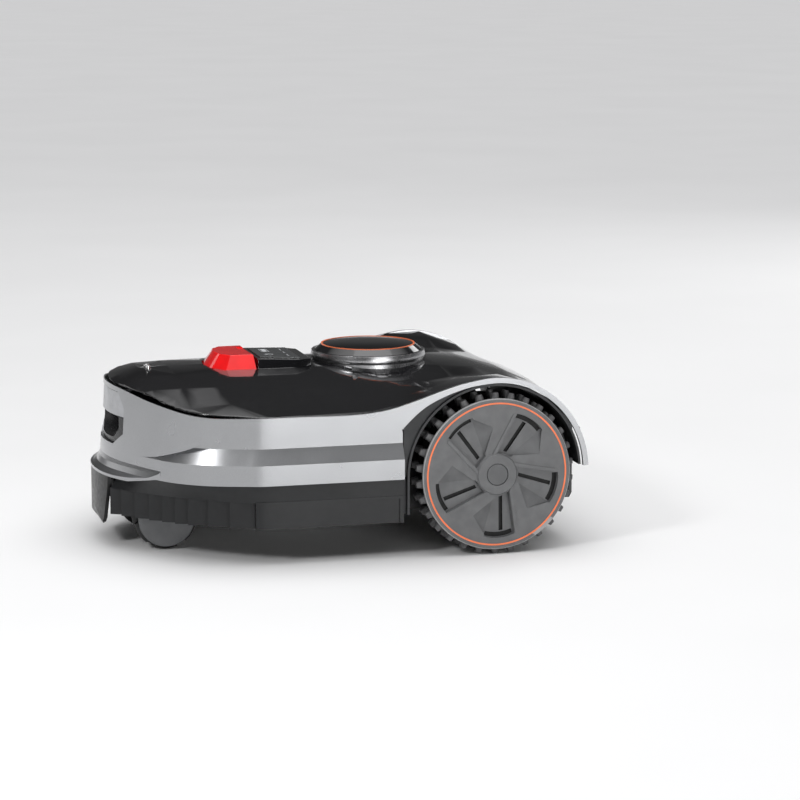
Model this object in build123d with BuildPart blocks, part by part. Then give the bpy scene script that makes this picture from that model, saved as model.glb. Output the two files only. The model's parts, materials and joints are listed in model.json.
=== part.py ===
"""Robotic lawn mower: two driven rear wheels, two omni wheels in front, a floating-height blade disc.

Frame: origin on the ground under the middle of the mower, +Z up, -Y towards the nose,
+X towards the mower's left side. Millimetres.
"""
import os
from math import cos, pi, radians, sin, sqrt

from build123d import *

os.makedirs("parts", exist_ok=True)

# ---------------------------------------------------------------- driving dimensions
HALF_LENGTH = 358.0
HALF_WIDTH = 258.0           # side faces of the body
TYRE_RADIUS = 123.0          # over the tread studs
AXLE_Y = 212.0
AXLE_Z = TYRE_RADIUS
WHEEL_FACE_X = 262.0         # outer face of a rear wheel
WHEEL_INNER_X = 204.0
ARCH_RADIUS = 146.0          # outer edge of the wheel-arch strip
ARCH_STRIP = 8.0
OMNI_RADIUS = 48.0
OMNI_FACE_X = 104.0
OMNI_WIDTH = 46.0
OMNI_Y = -262.0
DECK_Y = -20.0               # cutter axis
DECK_RADIUS = 128.0
CUTTER_RADIUS = 95.0
BLADE_COUNT = 6
BLADE_PIVOT_RADIUS = 82.0
CUTTER_Z = 45.0              # underside of the blade disc at rest
GAP = 0.5                    # between trim pieces that don't move

# heights of the bands along the side
TUB_FLOOR = 62.0
BAND_BOTTOM = 121.6
GROOVE_LOW = 152.0
LEDGE_TOP = 175.0
GROOVE_HIGH = 197.7
TUB_TOP = 119.0
REAR_BOX_TOP = 172.0
REAR_BOX_HALF = 190.0
SHELL_WALL = 6.0
GROOVE_DEPTH = 12.0

# right half of the plan outline from the nose's middle to the start of the straight side
NOSE_CURVE = [(0, -344.5), (58, -336.5), (105, -319), (152, -296), (190, -272),
              (215, -247), (240, -203), (252, -165), (HALF_WIDTH, -118)]
BUMPER_CURVE = [(0, -HALF_LENGTH), (40, -355), (95, -338), (125, -320.5), (150, -303)]
BUMPER_END = (174.0, -283.3)

SIDES = (1, -1)


# ---------------------------------------------------------------- shared outlines
def inset_curve(points, inset, set_back=0.0):
    """Move a curve's points inwards by inset; set_back also moves the nose back, fading along the side."""
    moved = []
    last = len(points) - 1
    for i, (x, y) in enumerate(points):
        ax, ay = points[max(i - 1, 0)]
        bx, by = points[min(i + 1, last)]
        tx, ty = bx - ax, by - ay
        if i == 0:
            tx, ty = 1.0, 0.0
        if i == last:
            tx, ty = 0.0, 1.0
        size = sqrt(tx * tx + ty * ty)
        fade = max(0.0, 1.0 - x / points[last][0])
        moved.append((x - inset * ty / size, y + inset * tx / size + set_back * sqrt(fade)))
    return moved


def body_outline(inset, rear_y, set_back=0.0):
    """Closed plan outline of the body, rounded in front and straight along the sides."""
    curve = inset_curve(NOSE_CURVE, inset, set_back)
    half = HALF_WIDTH - inset
    with BuildSketch() as outline:
        with BuildLine():
            Spline(curve, tangents=[(1, 0), (0, 1)])
            Polyline([curve[-1], (half, rear_y), (0, rear_y)])
            mirror(about=Plane.YZ)
        make_face()
    return outline.sketch


def bumper_outline(inset):
    """Plan outline of the bulging nose: the bumper, and the shelf above it."""
    curve = inset_curve(BUMPER_CURVE, inset)
    with BuildSketch() as outline:
        with BuildLine():
            Spline(curve + [(BUMPER_END[0], BUMPER_END[1] + inset * 0.4)], tangents=[(1, 0), (0.72, 0.69)])
            Polyline([(BUMPER_END[0], BUMPER_END[1] + inset * 0.4), (120, -250), (0, -250)])
            mirror(about=Plane.YZ)
        make_face()
    return outline.sketch


def arch_point(radius, angle):
    """Point of a circle about the rear axle, in the side view, angle from straight back."""
    return (AXLE_Y + radius * cos(radians(angle)), AXLE_Z + radius * sin(radians(angle)))


def finish(part, name):
    """Label a part and write it."""
    part.label = name
    export_step(part, f"parts/{name}.step")


# ---------------------------------------------------------------- silver body shell
# the side view's upper edge of the silver band, from the nose back to the wheel arch
BAND_EDGE = [(-350, 246), (-321, 245), (-302, 238.5), (-279, 232.5), (-256, 227), (-228, 223),
             (-190, 222.3), (-80, 222.6), (20, 224), (47, 228), (93, 241), (139, 256)]
ARCH_FRONT = [(188, 259), (170, 256), (132, 244), (99, 227), (81, 212), (68, 199)]
SHELL_END_Y = 70.0

with BuildPart() as shell_profile:
    with BuildSketch(Plane.YZ):
        with BuildLine():
            Spline(BAND_EDGE)
            Spline([BAND_EDGE[-1], arch_point(ARCH_RADIUS, 102), arch_point(ARCH_RADIUS, 90)],
                           tangents=[(46, 15), (1, 0)])
            outer_arc = ThreePointArc(arch_point(ARCH_RADIUS, 90), arch_point(ARCH_RADIUS, 45),
                                      arch_point(ARCH_RADIUS, 2.5))
            tail = Line(outer_arc @ 1, arch_point(ARCH_RADIUS - ARCH_STRIP, 2.5))
            inner_arc = ThreePointArc(tail @ 1, arch_point(ARCH_RADIUS - ARCH_STRIP, 45),
                                      arch_point(ARCH_RADIUS - ARCH_STRIP, 90))
            Spline([inner_arc @ 1] + ARCH_FRONT)
            Polyline([ARCH_FRONT[-1], (SHELL_END_Y, 190), (SHELL_END_Y, BAND_BOTTOM - 20),
                      (-370, BAND_BOTTOM - 20), (-370, 246), BAND_EDGE[0]])
        make_face()
    extrude(amount=HALF_WIDTH + 10, both=True)

with BuildPart() as groove_tool:
    with BuildSketch(Plane.XY.offset(GROOVE_LOW)):
        Rectangle(600, 800)
    extrude(amount=GROOVE_HIGH - GROOVE_LOW)
    with BuildSketch(Plane.XY.offset(GROOVE_LOW)):
        add(body_outline(0.0, 400.0, 2.0))
    with BuildSketch(Plane.XY.offset(LEDGE_TOP)):
        add(body_outline(GROOVE_DEPTH, 400.0, 4.0))
    loft(ruled=True, mode=Mode.SUBTRACT)
    with BuildSketch(Plane.XY.offset(LEDGE_TOP - 0.01)):
        add(body_outline(GROOVE_DEPTH, 400.0, 4.0))
    extrude(amount=60, mode=Mode.SUBTRACT)
    with BuildSketch(Plane.YZ):
        with BuildLine():
            rise = Spline([(-312, GROOVE_LOW), (-297, 153.5), (-273, 163), (-248, 174), (-222, 187),
                           (-190, 196.5), (-160, GROOVE_HIGH)], tangents=[(1, 0), (1, 0)])
            Polyline([rise @ 1, (80, GROOVE_HIGH), (80, GROOVE_LOW - 1), (-312, GROOVE_LOW - 1), rise @ 0])
        make_face()
    extrude(amount=300, both=True, mode=Mode.INTERSECT)

NOSE_WINDOW = [(-65, 240), (-85, 217), (-85, 178), (-55, 159), (55, 159), (85, 178), (85, 217), (65, 240)]
SHELF_INSET = 4.0

SHELF_BOTTOM = 112.6
SHELF_FLARE = ((SHELF_BOTTOM, -19.0), (115.5, -17.5), (118.5, -10.0), (123.0, -4.5), (131.0, -0.8),
               (139.0, 1.5))

with BuildPart() as nose_shelf:
    for height, inset in SHELF_FLARE:
        with BuildSketch(Plane.XY.offset(height)):
            add(body_outline(inset, -100.0, 0.0))
    loft(ruled=True)
    with BuildSketch(Plane.XY.offset(SHELF_BOTTOM)):
        add(bumper_outline(0.0))
    extrude(amount=30, mode=Mode.INTERSECT)
    with BuildSketch(Plane.XY.offset(SHELF_BOTTOM - 1)):
        add(body_outline(SHELF_INSET, 400.0, 0.0))
    extrude(amount=40, mode=Mode.SUBTRACT)
    # its lower edge rises to meet the side band
    with BuildSketch(Plane.YZ):
        Polygon((-324, SHELF_BOTTOM - 1), (-324, SHELF_BOTTOM), (-284, BAND_BOTTOM + 2),
                (-240, BAND_BOTTOM + 2), (-240, SHELF_BOTTOM - 1), align=None)
    extrude(amount=200, both=True, mode=Mode.SUBTRACT)

with BuildPart() as body_shell:
    with BuildSketch(Plane.XY.offset(BAND_BOTTOM)):
        add(body_outline(0.0, HALF_LENGTH))
    with BuildSketch(Plane.XY.offset(272)):
        add(body_outline(0.0, HALF_LENGTH, 11.0))
    loft(ruled=True)
    add(shell_profile.part, mode=Mode.INTERSECT)
    for low, high, inset in ((BAND_BOTTOM - 1, GROOVE_LOW - 3, SHELL_WALL),
                             (GROOVE_LOW - 3, GROOVE_HIGH + 3, GROOVE_DEPTH + 3),
                             (GROOVE_HIGH + 3, 300, SHELL_WALL)):
        with BuildSketch(Plane.XY.offset(low)):
            add(body_outline(inset, 400.0, 5.0))
        extrude(amount=high - low, mode=Mode.SUBTRACT)
    with BuildSketch(Plane.XY.offset(100)):
        with Locations((0, 240)):
            Rectangle(2 * (HALF_WIDTH - SHELL_WALL), 320)
    extrude(amount=200, mode=Mode.SUBTRACT)
    add(groove_tool.part, mode=Mode.SUBTRACT)
    with BuildSketch(Plane.XZ.offset(250)):
        Polygon(*NOSE_WINDOW, align=None)
    extrude(amount=150, mode=Mode.SUBTRACT)
    # flared shelf along the bottom of the nose, over the bumper
    add(nose_shelf.part)
finish(body_shell.part, "body_shell")

# ---------------------------------------------------------------- black top cover
# one row per cross-section: Y, then heights at the middle, at X 70, at the crease, at X 200 and at the edge,
# and the crease's X
COVER_ROWS = [
    (-346, 240, 238, 226, 214, 206, 118),
    (-329, 250, 246.5, 236, 222, 212, 118),
    (-305, 260.5, 257, 245.5, 226, 216, 120),
    (-284, 265, 262, 250, 228, 218, 124),
    (-240, 266.5, 264, 253.5, 232, 219, 134),
    (-180, 267, 265, 254, 236.5, 221, 142),
    (-80, 267.5, 265.5, 253.5, 236.5, 221.5, 142),
    (20, 267.5, 265.5, 252, 237.5, 223, 142),
    (70, 267, 265, 250.5, 240, 233, 142),
    (120, 266, 263.5, 248.5, 246.5, 249, 142),
    (175, 264, 261.5, 254, 262, 265.5, 142),
    (230, 259, 257.5, 254, 265, 267.5, 142),
    (280, 249, 248, 246, 250.5, 252, 142),
    (320, 235, 234, 230, 225, 220, 142),
    (348, 214, 213, 208, 196, 181, 142),
]
COVER_REAR_Y = 346.0
COVER_WALL = 3.0
COVER_INSET = SHELL_WALL + GAP


def cover_loft(drop):
    """Solid under the top cover's surface, lowered by drop."""
    sections = []
    for y, middle, inner, crease, outer, edge_z, crease_x in COVER_ROWS:
        right = [(0, middle), (70, inner), (crease_x, crease), (200, outer), (262, edge_z)]
        left = [(-x, z) for x, z in reversed(right[1:])]
        outline = [(x, z - drop) for x, z in left + right] + [(262, 100 - drop), (-262, 100 - drop)]
        sections.append(Plane.XZ.offset(-y) * Polygon(*outline, align=None))
    return loft(sections, ruled=True)


cover_top = cover_loft(0.0)
cover_under = cover_loft(COVER_WALL)

STOP_FRONT, STOP_REAR, STOP_HALF = -182.0, -112.0, 61.0
PANEL_FRONT, PANEL_REAR = -110.5, -24.0
DOME_Y = 79.0
DOME_HOLE_RADIUS = 87.5
TRIM_RADIUS = 90.0
RAIN_Y = -271.0
RAIN_SPACING = 16.0

STOP_FOOT = [(0, STOP_FRONT - 2), (36, STOP_FRONT + 4), (STOP_HALF, STOP_FRONT + 22),
             (STOP_HALF + 2, STOP_REAR)]


def mirrored_polygon(half):
    """Closed polygon from its right half, whose first point lies on the middle line."""
    left = [(-x, y) for x, y in half[:0:-1]]
    with BuildSketch() as sketch:
        Polygon(*left, *half, align=None)
    return sketch.sketch


with BuildPart() as top_cover:
    add(cover_top)
    add(cover_under, mode=Mode.SUBTRACT)
    with BuildSketch(Plane.XY.offset(150)):
        add(body_outline(COVER_INSET, COVER_REAR_Y, 9.5))
    extrude(amount=150, mode=Mode.INTERSECT)
    with BuildSketch(Plane.XY.offset(200)):
        add(mirrored_polygon(STOP_FOOT))
        offset(amount=1.0)
        with Locations((0, DOME_Y)):
            Circle(DOME_HOLE_RADIUS)
        with Locations((0, RAIN_Y)):
            with GridLocations(RAIN_SPACING, 1, 2, 1):
                Circle(4.3)
    extrude(amount=100, mode=Mode.SUBTRACT)
finish(top_cover.part, "top_cover")

# ---------------------------------------------------------------- chassis tub
WALL = 4.0
TUB_INSET = 40.0
WELL = (36.0, 112.0, -316.0, -206.0)      # inner X, outer X, front Y, rear Y of an omni wheel's well
WELL_TOP = 103.0
DECK_CEILING = 103.0
MOTOR_HOLE_RADIUS = 38.0
HATCH = (90.0, 118.0, 304.0)              # half width, front Y, rear Y of the battery opening
AXLE_RADIUS = 8.0
AXLE_HOLE_RADIUS = 20.0
REAR_WALL_Y = 334.0

with BuildPart() as tub_hollow:
    with BuildSketch(Plane.XY.offset(TUB_FLOOR + WALL)):
        add(body_outline(TUB_INSET + WALL, 62.0, 0.0))
        with Locations((0, (40 + REAR_WALL_Y - WALL) / 2)):
            Rectangle(2 * (REAR_BOX_HALF - WALL), REAR_WALL_Y - WALL - 40)
    extrude(amount=150)
    with Locations((0, DECK_Y, TUB_FLOOR)):
        Cylinder(DECK_RADIUS + WALL, DECK_CEILING + WALL - TUB_FLOOR,
                 align=(Align.CENTER, Align.CENTER, Align.MIN), mode=Mode.SUBTRACT)
    for side in SIDES:
        with Locations((side * (WELL[0] + WELL[1]) / 2, (WELL[2] + WELL[3]) / 2, TUB_FLOOR)):
            Box(WELL[1] - WELL[0] + 2 * WALL, WELL[3] - WELL[2] + 2 * WALL, WELL_TOP + WALL - TUB_FLOOR,
                align=(Align.CENTER, Align.CENTER, Align.MIN), mode=Mode.SUBTRACT)

with BuildPart() as chassis_tub:
    with BuildSketch(Plane.XY.offset(TUB_FLOOR)):
        add(body_outline(TUB_INSET, 66.0, 0.0))
    extrude(amount=TUB_TOP - TUB_FLOOR)
    with BuildSketch(Plane.XY.offset(TUB_FLOOR)):
        with Locations((0, (60 + REAR_WALL_Y) / 2)):
            Rectangle(2 * REAR_BOX_HALF, REAR_WALL_Y - 60)
    extrude(amount=REAR_BOX_TOP - TUB_FLOOR)
    add(tub_hollow.part, mode=Mode.SUBTRACT)
    with Locations((0, DECK_Y, TUB_FLOOR)):
        Cylinder(DECK_RADIUS, DECK_CEILING - TUB_FLOOR, align=(Align.CENTER, Align.CENTER, Align.MIN),
                 mode=Mode.SUBTRACT)
        Cylinder(MOTOR_HOLE_RADIUS, 60, align=(Align.CENTER, Align.CENTER, Align.MIN), mode=Mode.SUBTRACT)
    for side in SIDES:
        with Locations((side * (WELL[0] + WELL[1]) / 2, (WELL[2] + WELL[3]) / 2, TUB_FLOOR)):
            Box(WELL[1] - WELL[0], WELL[3] - WELL[2], WELL_TOP - TUB_FLOOR,
                align=(Align.CENTER, Align.CENTER, Align.MIN), mode=Mode.SUBTRACT)
    with BuildSketch(Plane.XY.offset(TUB_FLOOR - 1)):
        with Locations((0, (HATCH[1] + HATCH[2]) / 2)):
            RectangleRounded(2 * HATCH[0], HATCH[2] - HATCH[1], 10)
    extrude(amount=WALL + 2, mode=Mode.SUBTRACT)
    with BuildSketch(Plane.YZ.offset(-REAR_BOX_HALF - 5)):
        with Locations((AXLE_Y, AXLE_Z)):
            Circle(AXLE_HOLE_RADIUS)
    extrude(amount=2 * REAR_BOX_HALF + 10, mode=Mode.SUBTRACT)
finish(chassis_tub.part, "chassis_tub")

# ---------------------------------------------------------------- battery hatch, screws, battery, board
HATCH_PLATE = 3.0
HATCH_LIP = 10.0
with BuildPart() as battery_hatch:
    with BuildSketch(Plane.XY.offset(TUB_FLOOR - HATCH_PLATE)):
        with Locations((0, (HATCH[1] + HATCH[2]) / 2)):
            RectangleRounded(2 * (HATCH[0] + HATCH_LIP), HATCH[2] - HATCH[1] + 2 * HATCH_LIP, 14)
    extrude(amount=HATCH_PLATE)
    with BuildSketch(Plane.XY.offset(TUB_FLOOR)):
        with Locations((0, (HATCH[1] + HATCH[2]) / 2)):
            RectangleRounded(2 * (HATCH[0] - GAP), HATCH[2] - HATCH[1] - 2 * GAP, 9.5)
            RectangleRounded(2 * (HATCH[0] - WALL), HATCH[2] - HATCH[1] - 2 * WALL, 8, mode=Mode.SUBTRACT)
    extrude(amount=WALL)
    with BuildSketch(Plane.XY.offset(TUB_FLOOR - HATCH_PLATE)):
        with Locations((0, (HATCH[1] + HATCH[2]) / 2)):
            with GridLocations(2 * (HATCH[0] + 5), 150, 2, 2):
                Circle(2.2)
    extrude(amount=HATCH_PLATE, mode=Mode.SUBTRACT)
    # sunk seats for the screws' heads
    with BuildSketch(Plane.XY.offset(TUB_FLOOR - HATCH_PLATE)):
        with Locations((0, (HATCH[1] + HATCH[2]) / 2)):
            with GridLocations(2 * (HATCH[0] + 5), 150, 2, 2):
                Circle(4.4)
    extrude(amount=1.6, mode=Mode.SUBTRACT)
finish(battery_hatch.part, "battery_hatch")

with BuildPart() as hatch_screws:
    with Locations((0, (HATCH[1] + HATCH[2]) / 2, TUB_FLOOR - HATCH_PLATE + 0.1)):
        with GridLocations(2 * (HATCH[0] + 5), 150, 2, 2):
            Cylinder(4.0, 1.4, align=(Align.CENTER, Align.CENTER, Align.MIN))
            Cylinder(1.9, HATCH_PLATE - 0.1, align=(Align.CENTER, Align.CENTER, Align.MIN))
finish(hatch_screws.part, "hatch_screws")

BATTERY = (164.0, 160.0, 66.0)
with BuildPart() as battery_pack:
    with Locations((0, (HATCH[1] + HATCH[2]) / 2, TUB_FLOOR + WALL + 0.5)):
        Box(*BATTERY, align=(Align.CENTER, Align.CENTER, Align.MIN))
    fillet(battery_pack.edges().filter_by(Axis.Z), 8)
finish(battery_pack.part, "battery_pack")

BOARD_Z = 150.0
with BuildPart() as control_board:
    with Locations((0, 235, BOARD_Z)):
        Box(220, 120, 1.6, align=(Align.CENTER, Align.CENTER, Align.MIN))
    for x, y, w, d, h in ((-70, 225, 34, 34, 9), (-10, 260, 26, 26, 4), (30, 215, 18, 40, 12),
                          (75, 255, 40, 16, 10)):
        with Locations((x, y, BOARD_Z + 1.6)):
            Box(w, d, h, align=(Align.CENTER, Align.CENTER, Align.MIN))
    for x in (-95, 95):
        for y in (190, 280):
            with Locations((x, y, TUB_FLOOR + WALL)):
                Cylinder(4, BOARD_Z - TUB_FLOOR - WALL, align=(Align.CENTER, Align.CENTER, Align.MIN))
finish(control_board.part, "control_board")

# ---------------------------------------------------------------- side skirts with their comb of slats
SLAT_FRONT = [(79, -344), (96, -330), (118, -313), (138, -295), (156, -278.5), (173, -262), (188, -245),
              (208, -219), (229, -190), (247, -154)]
SLAT_TOP = 95.0
SLAT_STEP = 8.5
SLAT_BACK = 11.0
SKIRT_BOTTOM = 55.0
SKIRT_TOP = BAND_BOTTOM - GAP
SKIRT_INSET = 5.0
SKIRT_WALL = 4.0
SKIRT_REAR_X = 253.0
FLANGE_BOTTOM = TUB_TOP + 0.2


def skirt_strip(curve, wall):
    """Closed strip of the given width behind a curve that runs back along the body's side."""
    inner = inset_curve([(0, -400)] + curve, wall)[1:]
    with BuildSketch() as strip:
        with BuildLine():
            Spline(curve)
            Line(curve[-1], inner[-1])
            Spline(inner[::-1])
            Line(inner[0], curve[0])
        make_face()
    return strip.sketch


with BuildPart() as side_skirt_left:
    low_edge = SLAT_FRONT + [(251.5, -128), (SKIRT_REAR_X, -90), (SKIRT_REAR_X, 0), (SKIRT_REAR_X, 70)]
    low_curve = inset_curve([(0, -400)] + low_edge, 0.6)[1:]
    side_end = [(SKIRT_REAR_X, 0), (SKIRT_REAR_X, 70)]
    high_curve = [(80, -325)] + inset_curve(NOSE_CURVE, SKIRT_INSET)[2:] + side_end
    # band under the silver shell, flaring out to the slats at the nose
    with BuildSketch(Plane.XY.offset(SLAT_TOP)):
        add(skirt_strip(low_curve, SKIRT_WALL))
    with BuildSketch(Plane.XY.offset(SKIRT_TOP)):
        add(skirt_strip(high_curve, SKIRT_WALL))
    loft(ruled=True)
    # flange that rests on the tub's rim
    with BuildSketch(Plane.XY.offset(FLANGE_BOTTOM)):
        add(body_outline(SKIRT_INSET + 1, 69.0, 0.0))
        add(body_outline(TUB_INSET + WALL, 100.0, 0.0), mode=Mode.SUBTRACT)
        with Locations((-200, 0)):
            Rectangle(2 * (200 + 84), 900, mode=Mode.SUBTRACT)
    extrude(amount=SKIRT_TOP - FLANGE_BOTTOM)
    # room for the nose shelf
    with BuildSketch(Plane.XY.offset(SHELF_BOTTOM - GAP)):
        add(bumper_outline(-1.0))
        add(body_outline(SHELF_INSET + GAP, 400.0), mode=Mode.SUBTRACT)
    extrude(amount=20, mode=Mode.SUBTRACT)
    # saw-tooth slats, each face turned a little into the body
    teeth = []
    for front, rear in zip(SLAT_FRONT, SLAT_FRONT[1:]):
        dx, dy = rear[0] - front[0], rear[1] - front[1]
        size = sqrt(dx * dx + dy * dy)
        teeth.append(front)
        teeth.append((rear[0] - SLAT_STEP * dy / size - 0.1 * dx, rear[1] + SLAT_STEP * dx / size - 0.1 * dy))
    back = inset_curve([(0, -400)] + SLAT_FRONT + [(254, -100)], SLAT_BACK)[1:-1]
    with BuildSketch(Plane.XY.offset(SKIRT_BOTTOM)):
        Polygon(*teeth, SLAT_FRONT[-1], *back[::-1], align=None)
    extrude(amount=SLAT_TOP - SKIRT_BOTTOM + 1)
    # plain rear stretch
    with BuildSketch(Plane.XY.offset(SKIRT_BOTTOM)):
        with BuildLine():
            run = Spline([SLAT_FRONT[-1], (251.5, -128), (SKIRT_REAR_X, -90)], tangents=[(0.42, 0.9), (0, 1)])
            Polyline([run @ 1, (SKIRT_REAR_X, 70), (SKIRT_REAR_X - SKIRT_WALL, 70),
                      (SKIRT_REAR_X - SKIRT_WALL, -90), back[-1], SLAT_FRONT[-1]])
        make_face()
    extrude(amount=SLAT_TOP - SKIRT_BOTTOM + 1)
    # recessed facet ahead of the wheel
    with BuildSketch(Plane.YZ.offset(SKIRT_REAR_X - 2.2)):
        Polygon((-60, SKIRT_BOTTOM - 1), (64, SKIRT_BOTTOM - 1), (64, 92), (20, 92), (-52, 64), align=None)
    extrude(amount=10, mode=Mode.SUBTRACT)
finish(side_skirt_left.part, "side_skirt_left")

with BuildPart() as side_skirt_right:
    add(side_skirt_left.part.mirror(Plane.YZ))
finish(side_skirt_right.part, "side_skirt_right")

# ---------------------------------------------------------------- front bumper and its rubber buffers
BUMPER_WALL = 6.0
BUMPER_TRAVEL = 6.0
BUMPER_TOP = SHELF_BOTTOM - 0.6
BUMPER_FRONT_VIEW = [(0, 30), (40, 33), (52, 38), (58, 46), (71, 93), (73, BUMPER_TOP)]
BUFFER_X = (-45.0, 45.0)
BUFFER_Z = 84.0
BOSS_END_Y = -326.0
TUB_NOSE_Y = NOSE_CURVE[0][1] + TUB_INSET

with BuildPart() as front_bumper:
    with BuildSketch(Plane.XY.offset(20)):
        add(bumper_outline(0.6))
        add(bumper_outline(BUMPER_WALL), mode=Mode.SUBTRACT)
        with Locations((0, -200)):
            Rectangle(600, 120, mode=Mode.SUBTRACT)
    extrude(amount=BUMPER_TOP - 20)
    with BuildSketch(Plane.XZ.offset(200)):
        mirrored = [(-x, z) for x, z in BUMPER_FRONT_VIEW[:0:-1]]
        Polygon(*mirrored, *BUMPER_FRONT_VIEW, align=None)
    extrude(amount=200, mode=Mode.INTERSECT)
    with BuildSketch(Plane.YZ):
        with BuildLine():
            Spline([(-357.6, 60), (-355, 46), (-345, 29)], tangents=[(0, -1), (0.8, -0.6)])
            Polyline([(-345, 29), (-370, 20), (-370, 60), (-357.6, 60)])
        make_face()
    extrude(amount=200, both=True, mode=Mode.SUBTRACT)
    # two bosses that press on the buffers
    with BuildSketch(Plane.XZ.offset(347)):
        for x in BUFFER_X:
            with Locations((x, BUFFER_Z)):
                Circle(8)
    extrude(amount=-347 - BOSS_END_Y)
finish(front_bumper.part, "front_bumper")

with BuildPart() as bumper_buffers:
    with BuildSketch(Plane.XZ.offset(-TUB_NOSE_Y)):
        for x in BUFFER_X:
            with Locations((x, BUFFER_Z)):
                Circle(7)
    extrude(amount=TUB_NOSE_Y - BOSS_END_Y - BUMPER_TRAVEL - 0.5)
finish(bumper_buffers.part, "bumper_buffers")

# ---------------------------------------------------------------- nose: visor, funnel-shaped bezel, camera
WINDOW_GAP = 1.2
VISOR_BOTTOM = 203.0
VISOR_WALL = 4.0
BEZEL_BACK_Y = -292.0


def window_outline(gap):
    """The nose window's octagon, shrunk by gap, as seen from the front."""
    with BuildSketch() as window:
        Polygon(*NOSE_WINDOW, align=None)
        if gap > 0:
            offset(amount=-gap)
    return window.sketch


with BuildPart() as nose_visor:
    with BuildSketch(Plane.XY.offset(VISOR_BOTTOM)):
        add(body_outline(0.3, -100.0, 7.0))
    with BuildSketch(Plane.XY.offset(VISOR_BOTTOM + 40)):
        add(body_outline(0.3, -100.0, 10.0))
    loft(ruled=True)
    with BuildSketch(Plane.XY.offset(VISOR_BOTTOM - 1)):
        add(body_outline(VISOR_WALL, -90.0, 9.0))
    extrude(amount=60, mode=Mode.SUBTRACT)
    with BuildSketch(Plane.XZ.offset(250)):
        add(window_outline(WINDOW_GAP))
    extrude(amount=150, mode=Mode.INTERSECT)
finish(nose_visor.part, "nose_visor")

with BuildPart() as camera_bezel:
    with BuildSketch(Plane.XZ.offset(-BEZEL_BACK_Y)):
        add(window_outline(WINDOW_GAP))
    extrude(amount=60)
    with BuildSketch(Plane.XY.offset(140)):
        add(body_outline(1.5, -100.0, 6.0))
    extrude(amount=VISOR_BOTTOM - WINDOW_GAP - 140, mode=Mode.INTERSECT)
    # the funnel: wide octagon in front, low letterbox at the back
    with BuildSketch(Plane.XZ.offset(346)):
        Polygon((-81, 215), (-81, 180), (-53, 162.5), (53, 162.5), (81, 180), (81, 215), align=None)
    with BuildSketch(Plane.XZ.offset(-BEZEL_BACK_Y - 1)):
        Polygon((-40, 212), (-40, 190), (-34, 186), (34, 186), (40, 190), (40, 212), align=None)
    loft(ruled=True, mode=Mode.SUBTRACT)
finish(camera_bezel.part, "camera_bezel")

CAMERA_Z = 193.5
LENS_RADIUS = 7.0
with BuildPart() as camera_housing:
    with Locations((0, BEZEL_BACK_Y + 0.3, CAMERA_Z)):
        Box(96, 18, 24, align=(Align.CENTER, Align.MIN, Align.CENTER))
    with BuildSketch(Plane.XZ.offset(-BEZEL_BACK_Y)):
        with Locations((0, CAMERA_Z)):
            Circle(LENS_RADIUS + 0.2)
    extrude(amount=-8, mode=Mode.SUBTRACT)
finish(camera_housing.part, "camera_housing")

with BuildPart() as camera_lens:
    with BuildSketch(Plane.XZ.offset(-BEZEL_BACK_Y - 6)):
        with Locations((0, CAMERA_Z)):
            Circle(LENS_RADIUS)
    extrude(amount=8)
    fillet(camera_lens.edges().sort_by(Axis.Y)[0], 2.0)
finish(camera_lens.part, "camera_lens")

# ---------------------------------------------------------------- rain sensor
with BuildPart() as rain_sensor:
    with Locations((0, RAIN_Y, 252)):
        with GridLocations(RAIN_SPACING, 1, 2, 1):
            Cylinder(4.0, 17.5, align=(Align.CENTER, Align.CENTER, Align.MIN))
    fillet(rain_sensor.edges().group_by(Axis.Z)[-1], 1.5)
    with Locations((0, RAIN_Y, 248)):
        Box(RAIN_SPACING + 14, 16, 4, align=(Align.CENTER, Align.CENTER, Align.MIN))
finish(rain_sensor.part, "rain_sensor")

# ---------------------------------------------------------------- stop button, spring and switch
STOP_TOP = 286.0
STOP_BASE = 262.5
STOP_STEM_TOP = 240.0
with BuildPart() as stop_button:
    stop_middle = (STOP_FRONT + STOP_REAR) / 2
    with BuildSketch(Plane.XY.offset(STOP_BASE)):
        add(mirrored_polygon(STOP_FOOT))
    with BuildSketch(Plane.XY.offset(STOP_TOP)):
        add(mirrored_polygon([(0, STOP_FRONT + 14), (30, STOP_FRONT + 19), (47, STOP_FRONT + 32),
                              (49, STOP_REAR - 3)]))
    loft(ruled=True)
    # shallow finger scoop in the rear edge of the top
    with BuildSketch(Plane.XY.offset(STOP_TOP - 1.5)):
        with Locations((0, STOP_REAR - 4)):
            Rectangle(60, 18)
    extrude(amount=6, taper=-20, mode=Mode.SUBTRACT)
    fillet(stop_button.edges().filter_by(GeomType.LINE).group_by(Axis.Z)[-1], 1.0)
    # skirt and stem below the cover
    with BuildSketch(Plane.XY.offset(STOP_BASE)):
        with Locations((0, stop_middle + 8)):
            Rectangle(2 * STOP_HALF - 16, STOP_REAR - STOP_FRONT - 28)
    extrude(amount=-10)
    with Locations((0, stop_middle, STOP_STEM_TOP)):
        Cylinder(5, STOP_BASE - 10 - STOP_STEM_TOP, align=(Align.CENTER, Align.CENTER, Align.MIN))
finish(stop_button.part, "stop_button")

with BuildPart() as stop_switch:
    with Locations((0, stop_middle, 214)):
        Box(40, 30, 18, align=(Align.CENTER, Align.CENTER, Align.MIN))
    with Locations((0, stop_middle, 232)):
        Cylinder(9, 3.5, align=(Align.CENTER, Align.CENTER, Align.MIN))
    with BuildSketch(Plane.XY.offset(DECK_CEILING + WALL)):
        for x in (-16, 16):
            with Locations((x, stop_middle + 6)):
                Circle(4)
    extrude(amount=108)
finish(stop_switch.part, "stop_switch")

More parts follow.
